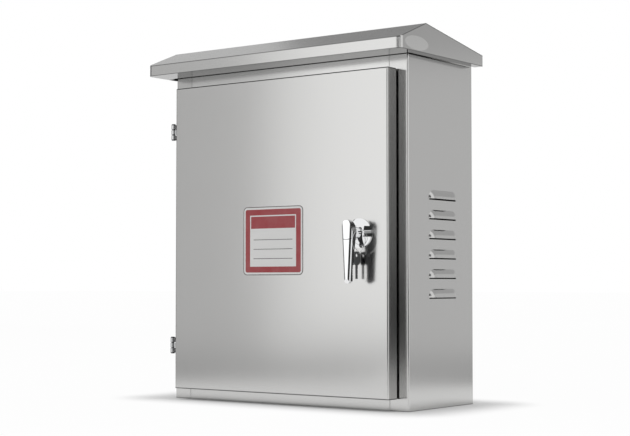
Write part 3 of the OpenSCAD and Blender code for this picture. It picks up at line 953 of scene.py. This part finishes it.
@dataclass
class Studio:
    """A white floor and backdrop, cards for the metal to mirror, and soft lamps."""

    floor_half: float = 30.0
    floor_colour: Colour = (0.9, 0.9, 0.9)
    floor_glow: float = 0.96
    shadow_reach: float = 0.12
    room_light: float = 0.75
    # An upright card has two angles, its low and high edge, its distance and its light.
    # A mat has two angles, its near and far edge and its light.
    cards: tuple[Card, ...] = (
        Card("softbox", -36.0, -12.0, 0.0, 2.4, 5.0, 1.3),
        Card("grey_screen", -64.0, -36.5, 0.0, 1.3, 1.7, 0.66),
        Card.mat("grey_mat", -78.0, -18.0, 0.7, 1.68, 0.45),
        Card("left_flag", -104.0, -66.0, 0.0, 3.0, 5.0, 0.04),
        Card.mat("left_mat", -104.0, -66.0, 1.3, 4.9, 0.04),
        Card("low_flag", -125.0, -104.0, 0.0, 1.35, 5.0, 0.04),
        Card("camera_flag", 8.0, 46.0, 0.3, 1.25, 4.9, 0.3),
        Card("lock_flag", 8.0, 74.0, 0.0, 0.3, 4.9, 0.03),
        Card.mat("lock_mat", 8.0, 74.0, 1.2, 4.9, 0.03),
        Card("upper_flag", 4.0, 80.0, 1.45, 3.6, 5.0, 0.03),
        Card("rear_screen", 112.0, 178.0, 0.0, 0.86, 2.0, 0.68),
        Card("rear_border", 112.0, 178.0, 0.86, 3.0, 2.0, 0.5),
        Card.mat("rear_mat", 100.0, 150.0, 0.66, 1.9, 0.5),
        Card("high_screen", -137.0, -100.0, 1.7, 5.6, 5.0, 0.58),
        Card("high_flag", -179.0, -137.0, 1.7, 5.6, 5.0, 0.3))
    lamps: tuple[Lamp, ...] = (
        Lamp("key", (1.6, -2.6, 2.6), (0.0, -0.1, 0.3), 20.0),
        Lamp("fill", (-2.4, -1.8, 1.8), (0.0, 0.0, 0.3), 10.0))

    def build(self) -> None:
        """Builds the floor, the world, the cards and the lamps."""
        self._floor()
        self._world()
        for piece in (*self.cards, *self.lamps):
            piece.build()

    def _floor(self) -> None:
        """Makes the floor plane with its pale finish."""
        half = self.floor_half
        points = [(-half, -half, 0.0), (half, -half, 0.0), (half, half, 0.0), (-half, half, 0.0)]
        paint = painted("floor_paint", self._floor_surface)
        floor = panel("floor", points, [(0, 1, 2, 3)], paint)
        LOG.info("laid the floor")

    @staticmethod
    def _seen(graph: Graph) -> Wire:
        """Marks what the camera sees directly, in a reflection or through glass.

        Args:
            graph: The node tree.

        Returns:
            1 for such rays, else 0.
        """
        path = graph.node("ShaderNodeLightPath").socket.node.outputs
        names = ("Is Camera Ray", "Is Glossy Ray", "Is Transmission Ray")
        camera, glossy, through = (Wire(graph, path[name]) for name in names)
        return camera.largest(glossy).largest(through)

    def _clear(self, graph: Graph) -> Wire:
        """Marks the floor away from the box, where it turns plain white.

        Args:
            graph: The floor's node tree.

        Returns:
            0 beside the box, rising in a smooth step to 1 at the shadow's reach.
        """
        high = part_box("body_wrap")[1]
        x, y, _ = graph.axes(graph.place())
        over_x = (abs(x) - high.x).largest(0.0)
        over_y = (abs(y) - high.y).largest(0.0)
        away = (square_sum(over_x, over_y) ** 0.5 / self.shadow_reach).smallest(1.0)
        return away * away * (3.0 - 2.0 * away)

    def _floor_surface(self, graph: Graph) -> Wire:
        """Makes the floor white, with a soft shadow kept round the box.

        Args:
            graph: The floor's node tree.

        Returns:
            The floor's shader.
        """
        plain = graph.node("ShaderNodeBsdfDiffuse", None, {"Color": self.floor_colour})
        white = graph.node("ShaderNodeEmission", None, {"Color": WHITE, "Strength": 1.0})
        glow = self.floor_glow * self._seen(graph) * self._clear(graph)
        return graph.node("ShaderNodeMixShader", None, {0: glow, 1: plain, 2: white})

    def _world(self) -> None:
        """Makes a white backdrop and an even room light."""
        world = bpy.data.worlds.new("studio")
        bpy.context.scene.world = world
        world.use_nodes = True
        graph = Graph(world.node_tree)
        shown = graph.mix(self._seen(graph), (self.room_light,) * 3, WHITE)
        room = graph.node("ShaderNodeBackground", None, {"Color": shown, "Strength": 1.0})
        graph.node("ShaderNodeOutputWorld", None, {"Surface": room})


@dataclass
class Viewpoint:
    """The photograph's camera, from a fit to the box's edges."""

    place: Point = (1.5376, -2.0628, 0.2038)
    yaw: float = 36.916
    pitch: float = 2.577
    focal_px: float = 1465.1
    frame_px: float = 630.0
    sensor_mm: float = 36.0

    def build(self) -> None:
        """Makes the camera and selects it for the scene."""
        data = bpy.data.cameras.new("photo_camera")
        data.sensor_width = self.sensor_mm
        data.lens = self.focal_px / self.frame_px * self.sensor_mm
        camera = bpy.data.objects.new("photo_camera", data)
        camera.location = self.place
        camera.rotation_euler = (math.radians(90.0 + self.pitch), 0.0, math.radians(self.yaw))
        bpy.context.scene.collection.objects.link(camera)
        bpy.context.scene.camera = camera


def main() -> None:
    """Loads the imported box, dresses each sub-assembly and sets the studio."""
    logging.basicConfig(level=logging.INFO, format="%(name)s: %(message)s")
    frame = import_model()
    Viewpoint().build()
    Studio().build()
    dresser = Dresser(frame["nodes"])
    finishes = Finishes()
    for assembly in (Cabinet, Hinges, Door, Lock):
        assembly(dresser, finishes).dress()
    bpy.context.scene.view_settings.view_transform = "Standard"


if __name__ == "__main__":
    main()
